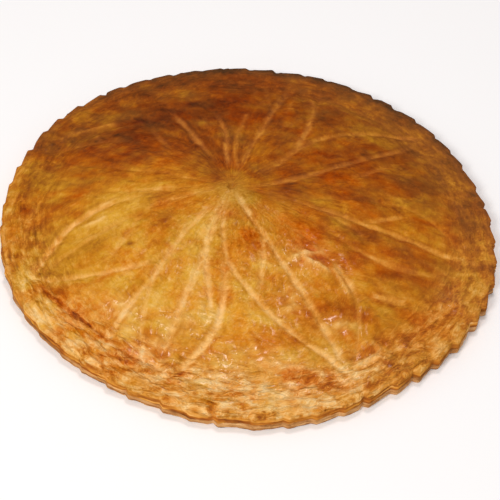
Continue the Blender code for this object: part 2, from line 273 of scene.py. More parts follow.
CUT_HALF = 1.5  # half the width of a cut
CUT_DEPTH = 0.9
FAINT_DEPTH = 0.25  # as a share, where it doesn't show
CUT_ENDS = 8.0  # how steeply a cut runs out at its ends, and the bare crumb in it
CUT_TIPS = 20.0
CUT_WAVES = 7.0  # along a cut that wanders
CUT_WANDER = 0.6
CUT_SWING = Grain(0.35, 7.0, 7.0, 31, 1)  # of its width
CUT_RAG = Grain(0.35, 2.6, 2.6, 32, 2)  # of its sides
CUT_BREAKS = Grain(0.3, 5.0, 5.0, 37, 1)  # of its bare crumb
# the lips are browned, and their darkness is partly painted shade beside the cut
LIP_PLACE = 1.55  # of its browned lips, in half widths
LIP_WIDTH = 0.55


def scored(x, y):
    """The gap to the nearest cut, and from 0 to 1 how deep the cuts are, how bare their walls lie and how
    near their lips are, which are browned and darkened partly as painted shade beside the cut: for each a
    bell across the cut, ragged, and the largest of all the cuts."""
    gap = np.full(x.shape, np.inf)
    groove, bared, shaded_lips = np.zeros(x.shape), np.zeros(x.shape), np.zeros(x.shape)
    swing = 1.0 + grained(x, y, CUT_SWING)
    rag = grained(x, y, CUT_RAG)
    broken = 0.85 + grained(x, y, CUT_BREAKS)
    for number, (offset, overrun, share, clear, width) in enumerate(cut_list(x, y)):
        offset = offset + CUT_WANDER * noise(share * CUT_WAVES, 3.7 * number, 29)
        reach = np.hypot(offset, overrun)
        gap = np.minimum(gap, reach)
        tips = ends_clear(share, CUT_TIPS, 0.3)
        depth = (FAINT_DEPTH + (1.0 - FAINT_DEPTH) * clear) * ends_clear(share, CUT_ENDS, 0.2)
        across = np.maximum(0.0, (reach + rag) / (CUT_HALF * width * swing))
        groove = np.maximum(groove, depth * unit(1.0 - across))
        bared = np.maximum(bared, clear * tips * broken * np.exp(-(across ** 3)))
        shaded_lips = np.maximum(shaded_lips, clear * tips * np.exp(-(((across - LIP_PLACE) / LIP_WIDTH) ** 2)))
    return gap, groove, bared, shaded_lips * (1.0 - bared)


def nicked_edge():
    """Bearing and radius of each point of the edge: a wobbling circle with a nick at every pitch. A nick has
    a steep side, a tip and a slow run back to the next nick."""
    randomness = np.random.default_rng(EDGE_SEED)
    pitch = TURN / NICKS
    bearings, depths = [], []
    for nick in range(NICKS):
        start = pitch * (nick + randomness.uniform(-NICK_WANDER, NICK_WANDER))
        swing = (math.degrees(start) - ROUGH_BEARING + 180.0) % 360.0 - 180.0
        depth = NICK_DEPTH * randomness.uniform(*NICK_SPREAD)
        depth += ROUGH_DEPTH * math.exp(-((swing / ROUGH_WIDTH) ** 2))
        for along, out in NICK_PROFILE:
            bearings.append(start + along * pitch)
            depths.append(depth * (1.0 - out))
    bearings = np.array(bearings)
    radii = RADIUS - np.array(depths)
    for waves, size, crest in EDGE_WAVES:
        radii += size * np.cos(waves * (bearings - math.radians(crest)))
    return bearings, radii


NICK_BEARINGS, NICK_RADII = nicked_edge()
EDGE_X, EDGE_Y = NICK_RADII * np.cos(NICK_BEARINGS), NICK_RADII * np.sin(NICK_BEARINGS)
# The part's origin is the middle of the box round that edge
MIDDLE = (0.5 * (np.max(EDGE_X) + np.min(EDGE_X)), 0.5 * (np.max(EDGE_Y) + np.min(EDGE_Y)))


def edge_radius(bearing):
    """Radius of the nicked edge at each bearing."""
    return np.interp(bearing % TURN, NICK_BEARINGS, NICK_RADII, period=TURN)


def dome_share(x, y):
    """0 at the hub and 1 at the dome's foot: its centre slides from the hub to the pie's middle."""
    share = unit(np.hypot(x, y) / DOME_FOOT)
    for _ in range(3):
        share = np.hypot(x - HUB[0] * (1.0 - share), y - HUB[1] * (1.0 - share)) / DOME_FOOT
        share = np.minimum(share, 1.0)
    return share


def base_height(x, y):
    """The lid without its skin: a dome that falls with a power of its share and slow buckling, less the
    folds, which are bells, the vent, which is a cone, and the rim's droop, which is a square."""
    height = RIM_HEIGHT + DOME_RISE * (1.0 - dome_share(x, y) ** DOME_POWER)
    for along_x, along_y, phase in BUCKLE_WAVES:
        height += BUCKLE / len(BUCKLE_WAVES) * np.sin((x * along_x + y * along_y) * MM + phase)
    for fold in FOLDS:
        offset, overrun, share = arc_places(x, y, fold)
        bell = np.exp(-((np.hypot(offset, overrun) / (FOLD_WIDTH / 2.0)) ** 2))
        height -= FOLD_DEPTH * ends_clear(share, CUT_ENDS) * bell
    height -= VENT_DEPTH * unit(1.6 - np.hypot(x - HUB[0], y - HUB[1]) / VENT_RADIUS)
    bearing = np.arctan2(y, x)
    room = edge_radius(bearing) - np.hypot(x, y)
    droop = RIM_DROOP * (MEAN_DROOP + (1.0 - MEAN_DROOP) * np.cos(bearing - FRONT))
    return height - droop * unit(1.0 - room / DROOP_WIDTH) ** 2


# Blotches over turned ellipses: how much browner they are, and how much more golden than orange
Patch = namedtuple("Patch", "x y length width bearing bake golden")
PATCHES = [Patch(*row) for row in (
    (-56, 64, 34, 20, 128, 0.25, -0.6), (-64, 57, 9, 8, 0, 0.09, -0.5), (-18, 80, 22, 17, 95, 0.22, -0.75),
    (-12, 112, 26, 10, 5, 0.16, -0.9), (-20, 11, 15, 7.5, 95, 0.19, -0.25),
    (-64, 27, 28, 12, 170, 0.22, -0.6), (-89, 40, 9, 10, 90, 0.19, -0.3), (-74, 50, 14, 9, 160, 0.21, 0),
    (-86, 11, 13, 9, 0, 0.2, -0.3), (-98, 58, 14, 11, 60, 0.24, 0.3), (-112, 43, 9, 12, 20, 0.23, 0.3),
    (-54, 106, 14, 6, 30, 0.18, -0.1), (-11, 38, 18, 18, 0, 0.13, 0.3), (12, 71, 19, 8, 80, 0.09, -0.3),
    (23, 6, 20, 7, 12, 0.17, -0.6), (38, 32, 30, 12, 38, 0.12, -0.75), (18, 44, 10, 14, 0, 0.12, 0),
    (41, 81, 10, 13, 0, 0.11, 0), (100, 44, 17, 12, 60, 0.08, 1.2), (54, 52, 22, 6, 35, 0.08, -0.1),
    (112, 16, 8, 16, 0, 0.11, 0.2), (1, -36, 5.5, 13, 0, 0.12, -0.8), (24, -26, 15, 11, 165, 0.03, -1),
    (63, -16, 19, 7, 170, 0.13, -0.3), (79, -38, 20, 9, 168, 0.16, -0.3), (106, -37, 8, 13, 0, 0.17, 0),
    (48, -67, 12, 8, 0, 0.21, -1.2), (69, -74, 18, 7, 60, 0.12, -0.5), (73, -95, 12, 8, 0, 0.12, 0),
    (84, -73, 14, 9, 50, 0.12, 0), (40, -105, 20, 5.2, 178, 0.22, -1.5), (-83, -75, 24, 1.8, 140, 0.3, -1),
    (-86, -66, 18, 7, 145, 0, -0.9), (-52, -99, 12, 6, 0, 0.17, -1.3), (-77, -37, 9, 7, 0, 0.17, 0.1),
    (-41, -23, 7, 6, 0, 0.12, -0.4), (-59, -37, 2, 1.6, 0, 0.4, 0), (-100, -10, 11, 13, 0, 0.12, -0.3),
    (-119, 0, 4, 16, 0, 0.22, -0.6), (-111, -26, 8, 16, 0, 0.25, -0.2), (-88, -57, 15, 8, 10, 0.15, 0.3),
    (16, -87, 18, 6, 5, 0.09, -0.8), (-56, -82, 11, 6, 0, -0.07, 0), (56, 13, 7, 16, 10, 0.09, -0.6),
    (-44, 19, 13, 7, 10, -0.1, -0.3), (-52, -9, 10, 5, 20, 0.1, 0), (4, 15, 10, 7, 0, 0.1, 0),
    (-64, -51, 12, 8, 0, -0.09, -0.3), (-86, 69, 13, 9, 160, -0.04, 1), (-40, 98, 13, 9, 170, -0.09, 1),
    (-112, 20, 8, 10, 0, 0.13, 1.4), (-72, -20, 15, 12, 30, -0.17, 1.6), (-96, -42, 11, 17, 0, 0.05, 1.7),
    (-91, -83, 12, 9, 140, -0.2, 0.4), (-111, -55, 8, 10, 0, -0.15, 1.2), (-36, -74, 14, 10, 0, -0.12, 0.6),
    (-3, -75, 20, 12, 0, -0.14, 0.25), (-23, -26, 8, 13, 15, -0.19, 0.25), (-26, -54, 8, 20, 10, -0.13, 0.35),
    (-7, -9, 11, 9, 0, -0.15, 0.8), (67, 79, 30, 10, 18, -0.06, 1.4), (52, 98, 15, 8, 0, -0.07, 0.5),
    (116, -31, 8, 14, 0, -0.05, 1.2), (32, -119, 22, 6, 6, -0.16, 0.2), (8, -113, 16, 10, 0, -0.15, -0.1),
    (14, -43, 11, 11, 0, -0.09, 0.5), (32, -50, 12, 9, 60, -0.13, 0), (59, -50, 8, 6, 0, -0.13, 0),
    (47, -88, 17, 8, 170, -0.03, 0.8), (76, -8, 18, 4, 5, -0.1, 0), (101, -9, 10, 7, 0, -0.1, 0.9),
    (-36, 44, 15, 6, 115, -0.1, 0.2), (-117, -28, 4, 12, 0, -0.12, 0), (-58, -35, 11, 8, 0, -0.07, 0.9),
    (9, -17, 8, 6, 0, -0.08, -0.3), (-31, 33, 16, 7, 132, 0.17, 0), (-38, 77, 11, 14, 0, 0.11, -0.35),
    (90, -24, 14, 10, 0, 0.14, -0.6), (73, -58, 20, 8, 170, 0.09, 0), (86, 30, 20, 9, 0, 0.13, -0.1),
    (42, -13, 13, 11, 0, 0.1, 0.1), (82, 4, 18, 8, 0, 0.08, -0.9), (43, -38, 20, 12, 20, 0.04, -0.4),
    (-70, -92, 28, 9, 140, -0.03, -0.8), (88, 78, 40, 14, 130, 0.04, 0.9), (-66, 80, 10, 8, 0, -0.08, 0.4),
    (-75, -4, 20, 8, 0, 0, 1), (76, -72, 14, 9, 20, 0, -0.7), (-12, 68, 8, 12, 0, -0.04, -0.8),
    (117, 9, 7, 36, 0, 0.08, 0.6),
)]
# Where the egg wash ran together and dried thick and crinkled
Pool = namedtuple("Pool", "x y length width bearing")
POOLS = (
    Pool(30, -38, 15, 8, 20), Pool(62, -93, 16, 9, 25), Pool(24, -64, 6, 6, 0), Pool(48, -74, 9, 4, 0),
    Pool(-58, -76, 12, 7, 150), Pool(-38, -98, 14, 9, 170), Pool(2, -98, 16, 6, 5), Pool(-12, -109, 22, 5, 0),
    Pool(-28, -82, 12, 8, 0), Pool(30, -112, 18, 5, 5), Pool(104, -42, 7, 10, 0),
)
# Pulled-up wrinkles of the skin: their ends, bow to the left, width, how much paler they are, and how much
#  more glaze lies on them. On the glazed ones the paleness is partly a painted glint
Crease = namedtuple("Crease", "x y end_x end_y bow width pale gloss")
CREASES = [Crease(*row) for row in (
    (-108, 50, -76, 65, 3, 1.9, 0.9, 0), (-88, 56, -84, 46, 0, 1.6, 0.9, 0),
    (7, 86, 15, 112, 0, 1.6, 0.45, 0), (14.5, 78, 20.5, 104, 0, 1.6, 0.45, 0),
    (-30, 62, -24, 50, 0, 1.5, 0.35, 0), (-6, 90, -2, 106, 0, 1.5, 0.3, 0), (84, 79, 112, 58, 3, 2.2, 0.5, 0),
    (20.3, 43, 29.3, 104, -4, 2.4, 1, 0), (66, -2, 79, 5, 0, 1.4, 0.5, 0), (-2, 40, 6, 85, -3, 2.2, 0.4, 0),
    (6, 84, 2, 112, 0, 1.8, 0.35, 0), (-11, 17, -17, 42, 1, 1.8, 0.6, 0), (-9, 16, -6, 76, 3, 2, 0.9, 0),
    (-18, 45, -21, 60, 0, 1.5, 0.35, 0), (-32, -22, -52, -68, 3, 2.4, 0.45, 0),
    (-52, -68, -65, -88, 0, 2, 0.5, 0.1), (55, -28, 88, -31, -1, 1.7, 0.45, 0.1),
    (8, -28, 8, -58, 0, 2.2, 0.35, 0), (-112, -2, -113, -40, -2, 1.8, 0.5, 0),
    (-85, 88, -70, 100, 1, 1.8, 0.4, 0), (-14, -6, -24, -34, 0, 3, 0.4, 0),
    (-12, -8, -16, -36, 0, 1.6, 0.4, 0), (-18, -1, -50, -9, 1, 2.2, 0.35, 0),
    (21, -42, 39, -33, 0, 2.2, 0.9, 1), (25.6, -38, 42.6, -46, 0, 2.2, 1, 1),
    (43.7, -40.7, 52.7, -57.7, 0, 2, 0.85, 0.3), (57, -95, 72, -87, 1, 2.4, 1, 1),
    (54, -100, 70, -95, 0, 1.6, 0.7, 1), (45, -75, 52, -74, 0, 2, 0.9, 1),
    (23.4, -60, 26.4, -70, 0, 2.2, 0.8, 0.7), (18, -71, 28, -69, 0, 1.7, 0.5, 0.8),
    (-66, -71, -56, -73, 0, 1.7, 0.6, 0.9), (-63, -77, -54, -78, 0, 1.5, 0.5, 0.7),
    (-84, -23, -73, -18, 0, 2, 1.1, 0.1), (-79, -9, -69, -5, 0, 2, 0.7, 0.1),
    (-60, -15, -36, -6, 0, 1.6, 0.3, 0), (17, -101, 54, -104, 2, 1.9, 0.6, 0.6),
    (-46, -93, -47, -108, 0, 1.7, 0.4, 0.7), (-20, -113, 2, -110, 0, 1.8, 0.35, 0.8),
    (-36, -87, -35, -92, 0, 1.9, 0.5, 0.8), (-4, -97, 11, -95, 0, 1.8, 0.5, 0.9),
    (-12, -103, -2, -106, 0, 1.6, 0.4, 0.8), (100, 36, 112, 22, 2, 2, 0.3, 0),
    (88, -24, 112, -30, 1, 1.8, 0.35, 0), (70, 20, 80, 17, 0, 1.5, 0.35, 0),
    (100, -14, 120, -17, 1, 2, 0.6, 0), (-58, -84, -48, -90, 0, 1.8, 0.4, 0.5),
    (58, -57, 86, -49, 1, 1.8, 0.4, 0.1), (57, -60, 59, -78, 0, 1.7, 0.4, 0.3),
)]
# Browning and goldenness at the middle of the pie, and their growth with each millimetre along x and y. The
# browning's
#  growth towards the back is partly real and partly painted shade on the back, which faces away from the
#  light
BAKE_AND_SHADE_FIELD = (0.46, 0.0005, 0.0019)
GOLDEN_FIELD = (0.24, -0.0004, -0.0008)


def bell_over(x, y, blot):
    """A bell over a turned ellipse: 1 at its middle, and e times less where its length and width end."""
    turn = math.radians(blot.bearing)
    along = (x - blot.x) * math.cos(turn) + (y - blot.y) * math.sin(turn)
    across = (y - blot.y) * math.cos(turn) - (x - blot.x) * math.sin(turn)
    return np.exp(-((along / blot.length) ** 2 + (across / blot.width) ** 2))


def blotched(x, y):
    """How browned the skin is before fine detail, 0 pale to 1 burnt, and how golden, -1 orange to 1 golden:
    most browned at the back, least in front, and more or less in the blotches. The browner back is partly
    real browning and partly painted shade."""
    bake, golden = (start + by_x * x + by_y * y for start, by_x, by_y in (BAKE_AND_SHADE_FIELD, GOLDEN_FIELD))
    for patch in PATCHES:
        bell = bell_over(x, y, patch)
        bake += patch.bake * bell
        golden += patch.golden * bell
    return bake, golden


def creased(x, y):
    """How pale and how glazed each point is made by the wrinkles: for each a bell across its bowed line,
    twice as wide for the glaze, fading at both ends, and the largest of them all."""
    pale, gloss = np.zeros(x.shape), np.zeros(x.shape)
    for crease in CREASES:
        share, side, _, length = chord_places(x, y, (crease.x, crease.y), (crease.end_x, crease.end_y))
        side += 4.0 * crease.bow * share * (share - 1.0) + 0.5 * noise(share * length / 5.0, 0.0, 83)
        ends = ends_clear(share, length / 4.0, 0.3)
        pale = np.maximum(pale, crease.pale * ends * np.exp(-((side / (0.75 * crease.width)) ** 2)))
        gloss = np.maximum(gloss, crease.gloss * ends * np.exp(-((side / (1.5 * crease.width)) ** 2)))
    return pale, gloss


RIM_START = 98.0  # from the middle, where the dome's skin turns into the rim's
RIM_BLEND = 14.0
DRIFT = Grain(1.0, 23.0, 23.0, 45, 2)  # bends the pleats and flakes this way and that
Place = namedtuple("Place", "x y reach turns middle bearing around room on_rim on_dome in_front drift")


def places(x, y):
    """Where points lie: the reach from the hub and the turns round it, the same from the pie's middle, and
    the room to the edge. How far they are on the rim is a ramp from 0 to 1, and in front a squared cosine."""
    hub_x, hub_y = x - HUB[0], y - HUB[1]
    middle, bearing = np.hypot(x, y), np.arctan2(y, x)
    on_rim = unit((middle - RIM_START) / RIM_BLEND)
    in_front = (0.5 + 0.5 * np.cos(bearing - FRONT)) ** 2
    return Place(x, y, np.hypot(hub_x, hub_y), np.arctan2(hub_y, hub_x) / TURN, middle, bearing,
                 bearing / TURN, edge_radius(bearing) - middle, on_rim, 1.0 - on_rim, in_front,
                 grained(x, y, DRIFT))


def by_front(at, pair):
    """A value from a pair: the first is what it is at the back, and the second what is added in front."""
    return pair[0] + pair[1] * at.in_front


def burnt_at(bearing):
    """How burnt the edge is, 0 to 1: a cosine round the pie, most at the back, and clipped in front."""
    return unit(0.25 + 0.75 * np.cos(bearing - BACK))


Fan = namedtuple("Fan", "count core rows sway slide seed octaves")
PLEATS = Fan(84, 6.0, 5.5, 0.8, 0.0, 41, 4)
RIDGES = Fan(64, 4.0, 3.0, 0.0, 0.0, 43, 3)
PLEAT_HEIGHT = (0.16, 0.06)
PLEAT_GROWTH = 60.0  # the distance from the hub over which they grow


def fanned(at, fan):
    """Noise drawn out from the hub: so many cells round it, in rows that are spaced by the logarithm of the
    distance from it plus a core, so that they lengthen outwards. Drift sways and slides the cells."""
    rows = np.log(at.reach + fan.core) * fan.rows + fan.slide * at.drift
    return rough(at.turns * fan.count + fan.sway * at.drift, rows, fan.seed, fan.octaves, fan.count)


def pleated(at):
    """The pleats that fan out from the hub: their height, which is noise plus sharp ridges, and the noise."""
    folds = fanned(at, PLEATS)
    ridges = 1.0 - 2.2 * np.abs(fanned(at, RIDGES))
    growth = np.clip(at.reach / PLEAT_GROWTH, 0.05, 1.0)
    return at.on_dome * growth * by_front(at, PLEAT_HEIGHT) * (folds + ridges), at.on_dome * folds


RISER = 0.25  # the share of a step that its riser takes
TREAD_GAP = 5.7  # between two treads, in the noise of their tones
DOME_FLAKES = Fan(60, 8.0, 8.0, 1.5, 2.0, 47, 4)
DOME_RELIEF = 1.5  # cut into treads one step high
DOME_STEP = 0.26
DOME_FLAKING = (0.6, 0.4)
Band = namedtuple("Band", "count width sway slide seed octaves")
RIM_FLAKES = Band(84, 2.3, 1.2, 2.0, 51, 3)
RIM_RELIEF = 1.6
RIM_STEP = 0.30
RIM_FLAKING = (0.3, 0.8)
CRINKLES = Band(80, 4.8, 0.9, 0.0, 69, 2)


def banded(at, band):
    """Noise drawn out along the edge: so many cells round the pie, in rows so many millimetres wide."""
    rows = at.middle / band.width + band.slide * at.drift
    return rough(at.around * band.count + band.sway * at.drift, rows, band.seed, band.octaves, band.count)


def layered(height, step):
    """Cut a height into level treads, as broken layers lie: the stepped height, how much each point lies on a
    riser, and the number of its tread."""
    tread = np.floor(height / step)
    rise = unit((height / step - tread - 1.0 + RISER) / RISER)
    return step * (tread + rise * rise * (3.0 - 2.0 * rise)), 4.0 * rise * (1.0 - rise), tread


def dome_flakes(at):
    """Long flakes along the pleats: their stepped height, their risers, and each layer's own tone."""
    height, riser, tread = layered(DOME_RELIEF * fanned(at, DOME_FLAKES), DOME_STEP)
    height *= at.on_dome * np.clip(at.reach / 40.0, 0.2, 1.0) * by_front(at, DOME_FLAKING)
    return height, at.on_dome * riser, at.on_dome * noise(tread * TREAD_GAP, at.drift * 6.0, 49)


def rim_flakes(at):
    """Flakes along the edge: their stepped height, their risers, and each layer's own tone."""
    flaky = banded(at, RIM_FLAKES)
    height, riser, tread = layered(RIM_RELIEF * flaky, RIM_STEP)
    height *= at.on_rim * by_front(at, RIM_FLAKING) * np.clip(at.room / 2.0, 0.3, 1.0)
    tone = noise(at.around * 128.0, at.middle / 1.9 + tread * TREAD_GAP, 53, 128) + 0.8 * flaky
    return height, at.on_rim * riser, at.on_rim * tone


BLISTERS = Bubbles(5.5, 4.5, 0.16, 0.30, 61)
BLISTER_DRIFT = 2.75
BLISTER_CHANCE = (0.12, 0.45)
BLISTER_HEIGHT = 0.55
PIMPLES = Bubbles(2.6, 2.0, 0.42, 0.0, 67)  # most of them on the front rim
PIMPLE_CHANCE = (0.1, 0.5)
PIMPLE_HEIGHT = 0.25


def blistered(at, gap):
    """Height of the blisters and pimples: round caps, each with its own draw of size, none in a cut."""
    cap, chance, tall = capped(at.x + BLISTER_DRIFT * at.drift, at.y, BLISTERS)
    height = BLISTER_HEIGHT * cap * (chance < by_front(at, BLISTER_CHANCE)) * (0.4 + tall) * unit(gap / 3.0)
    cap, chance, tall = capped(at.x, at.y, PIMPLES)
    present = chance < PIMPLE_CHANCE[0] + PIMPLE_CHANCE[1] * at.in_front * at.on_rim
    return height + PIMPLE_HEIGHT * cap * tall * present


CREASE_HEIGHT = 0.5
GLAZED_CREASE = 0.8  # added where glaze lies on the wrinkle
CRINKLE_HEIGHT = 1.5
RIM_SWELL = Grain(0.5, 11.0, 11.0, 55, 2)
SWELL = 1.0  # rise of the pastry between the cuts
SWELL_REACH = 5.0
DENT_DEPTH = 0.45  # pressed in by each nick
DENT_REACH = 5.0
# the band along the edge: the thin layers char there at the back, and it is also darkened in front
CHAR_WIDTH = 4.0  # of the edge, where the thin layers char
BLOTCH = Grain(1.0, 9.0, 6.0, 57, 4)
SCALES = Grain(1.0, 4.6, 3.4, 65, 2)  # on the front rim
GOLDEN_CLOUDS = (Grain(0.9, 15.0, 12.0, 59, 3), Grain(0.55, 8.0, 6.0, 63, 2))
BAKE_CLOUDS = Grain(0.07, 17.0, 17.0, 58, 2)
WET_CLOUDS = Grain(1.1, 14.0, 9.0, 71, 3)
BARE_RIM = (0.1, 0.2)
BARE_SIDE = math.radians(10.0)  # the rim's barest side
RIM_TONES = (0.08, 0.10)  # how strongly the rim's layers differ
DOME_LAYERS = (0.12, 0.24)  # how much the skin flakes finely
RIM_LAYERS = (0.22, 0.62)
WETNESS = (0.1, 0.9)


def skin(x, y):
    """The lid's skin: its height over the base form, how browned, how golden and how bare of glaze it is, how
    thick the glaze lies, and how much its layers flake. Each is a sum of what every feature adds to it."""
    at = places(x, y)
    gap, groove, bared, shaded_lips = scored(x, y)
    pale, gloss = creased(x, y)
    pleat_height, pleats = pleated(at)
    dome_height, dome_riser, dome_tone = dome_flakes(at)
    rim_height, rim_riser, rim_tone = rim_flakes(at)
    thick = np.max([bell_over(x, y, pool) for pool in POOLS], axis=0)
    crinkle = banded(at, CRINKLES)
    dent = unit(np.cos(at.around * NICKS * TURN)) ** 3 * np.exp(-at.room / DENT_REACH)
    height = SWELL * (1.0 - np.exp(-gap / SWELL_REACH)) - CUT_DEPTH * groove - DENT_DEPTH * dent
    height += (CREASE_HEIGHT + GLAZED_CREASE * gloss) * pale + CRINKLE_HEIGHT * thick * crinkle
    height += pleat_height + dome_height + rim_height + blistered(at, gap)
    height += at.on_rim * grained(x, y, RIM_SWELL)

    # Browner in blotches, on the pleats' and layers' high sides, at the lips of the cuts, partly as painted
    # shade
    #  beside them, and at the edge, burnt at the back and darker in front too. Paler on wrinkles, partly as
    #  painted glints on the glazed ones, and in the cuts
    front_rim = at.on_rim * at.in_front
    blotch, scaly = grained(x, y, BLOTCH), front_rim * grained(x, y, SCALES)
    burnt, edge_band = burnt_at(at.bearing), np.exp(-((at.room / CHAR_WIDTH) ** 2))
    bake, golden = blotched(x, y)
    bake += 0.09 * pleats + 0.08 * dome_tone + by_front(at, RIM_TONES) * rim_tone + 0.02 * front_rim
    bake += (0.11 + 0.10 * front_rim) * blotch + grained(x, y, BAKE_CLOUDS) + 0.09 * shaded_lips + 0.13 * scaly
    # on the glazed wrinkles the extra paleness is a painted glint
    bake -= (0.08 + 0.25 * gloss) * pale + 0.12 * thick * crinkle
    bake -= 0.5 * bared * unit(bake - 0.5)
    # the edge band is browner at the back, where it burns, and a little darker in front as well
    bake += burnt * (0.22 * edge_band + 0.05 * np.exp(-at.room / 7.0)) + 0.12 * at.in_front * edge_band

    # More golden in clouds and near the burnt edge, more orange in the brown blotches and on the front rim
    golden += sum(grained(x, y, cloud) for cloud in GOLDEN_CLOUDS) - 0.8 * blotch - 0.45 * front_rim
    golden += (0.1 + 0.7 * burnt) * np.exp(-at.room / 8.0)

    # Bare in the cuts, on wrinkles, risers and the crinkles' crests, at the hub, and on the rim and its edge
    bare = bared + 0.45 * pale * (1.0 - 0.5 * gloss) + 0.3 * thick * unit(2.0 * crinkle)
    bare += 0.2 * (dome_riser + rim_riser) + 0.35 * np.exp(-((at.reach / 7.0) ** 2)) - 0.35 * scaly
    bare += at.on_rim * (by_front(at, BARE_RIM) + 0.15 * np.cos(at.bearing - BARE_SIDE))
    bare += (0.25 + 0.35 * burnt) * edge_band

    # Wet in clouds, most in front, and wherever the glaze ran together, but not on risers
    wet = 0.42 * unit(0.4 + grained(x, y, WET_CLOUDS)) * by_front(at, WETNESS)
    wet = unit(wet + gloss + thick) * (1.0 - 0.9 * rim_riser) * (1.0 - 0.6 * dome_riser)
    layers = at.on_rim * by_front(at, RIM_LAYERS) + at.on_dome * by_front(at, DOME_LAYERS)
    return height, bake, golden, unit(bare), wet, layers


def disc_grid(count):
    """A square grid bent into a disc of radius 1 without a pole: squares round the centre become circles."""
    line = np.linspace(-1.0, 1.0, count + 1)
    across, up = np.meshgrid(line, line, indexing="xy")
    wide = np.abs(across) > np.abs(up)
    radius = np.where(wide, across, up)
    ratio = np.where(wide, up, across) / np.where(radius == 0.0, 1.0, radius)
    angle = np.where(wide, math.pi / 4.0 * ratio, math.pi / 2.0 - math.pi / 4.0 * ratio)
    return radius * np.cos(angle), radius * np.sin(angle)


def grid_faces(count):
    """The squares of a grid of count by count, anticlockwise."""
    column, row = np.meshgrid(np.arange(count), np.arange(count), indexing="xy")
    corner = (row * (count + 1) + column).ravel()
    return np.stack((corner, corner + 1, corner + count + 2, corner + count + 1), axis=1)


def grid_rim(count):
    """The grid's outer points in order, anticlockwise."""
    side = np.arange(count)
    return np.concatenate((side, side * (count + 1) + count, (count + 1) ** 2 - 1 - side,
                           (count - side) * (count + 1)))


def ring_faces(upper, lower):
    """Squares between two closed rings, facing outwards when both run anticlockwise seen from above."""
    return np.stack((upper, lower, np.roll(lower, -1), np.roll(upper, -1)), axis=1)


def make_piece(name, points, squares, caps, attributes):
    """A mesh object from points in millimetres, squares, polygon caps, and one number a point by name."""
    mesh = bpy.data.meshes.new(name)
    placed = (points - (*MIDDLE, 0.0)) * MM
    mesh.from_pydata(placed.tolist(), [], squares.tolist() + [list(cap) for cap in caps])
    for label, values in attributes.items():
        mesh.attributes.new(label, "FLOAT", "POINT").data.foreach_set("value", values.astype(np.float32))
    mesh.shade_smooth()
    piece = bpy.data.objects.new(name, mesh)
    bpy.context.scene.collection.objects.link(piece)
    return piece


LID_GRID = 296  # squares along each side of the bent grid
LID_ROWS = 9  # rings of squares down the side
NICK_BLEND = 12  # the nicks run out inwards with this power
SEAM_SHARE = 0.48  # where the two sheets meet, as a share of the edge's height
INSET_ROWS = 2.0  # rings over which the side's layers begin, and their browning
FADE_ROWS = 3.0
LAYER = 0.95  # the thickness of one baked layer of the side
LAYER_SWAYS = 90  # of a layer round the pie
LAYER_RAGGED = 0.7  # how far its ragged edge stands in and out
LAYER_ROUNDING = 0.5  # of a layer's corners


def layer_at(bearing, height):
    """The number of the layer at each point of the side and, after the decimal point, the share of the way up
    that layer: the height over the thickness, swaying by half a layer."""
    return height / LAYER + 0.5 * noise(bearing / TURN * LAYER_SWAYS, 0.0, 71, LAYER_SWAYS)


def side_inset(bearing, height):
    """How far the side stands in from the edge: thin layers, each with its own ragged reach from a coarse and
    a fine noise, and each rounded off by a half circle."""
    turns, level = bearing / TURN, layer_at(bearing, height)
    layer = np.floor(level)
    reach = 0.5 * noise(turns * 120.0, layer * 7.31, 73, 120) + 0.3 * noise(turns * 420.0, layer * 3.7, 75)
    corner = 1.0 - np.sqrt(unit(1.0 - (2.0 * (level - layer) - 1.0) ** 2))
    return LAYER_RAGGED * reach + LAYER_ROUNDING * corner


def layer_marks(bearing, height, inset):
    """How browned and how bare the side is: each layer has its own tone, barer where it is paler, and all are
    browner further in, near the shelf and at the burnt back. Further in that is painted shade in the
    recesses, and near the shelf it is partly browning on the shelf and partly painted shade at the foot."""
    turns, layer = bearing / TURN, np.floor(layer_at(bearing, height))
    own = noise(layer * 5.3, turns * 40.0, 77) + 0.6 * noise(turns * 200.0, layer * 2.9, 79, 200)
    # darker further in as painted shade in the recesses, and near the shelf partly as painted shade at the
    # foot
    bake = 0.51 + 0.20 * own + 0.10 * np.clip(inset, -0.5, 1.0) + 0.16 * np.exp(-height / 1.2)
    return bake + 0.22 * burnt_at(bearing), unit(0.7 - 0.3 * own)


def ring_points(radius, bearing, height):
    """Points of a ring, from the distance from the pie's middle, the bearing and the height of each."""
    return np.stack((radius * np.cos(bearing), radius * np.sin(bearing), height), axis=1)


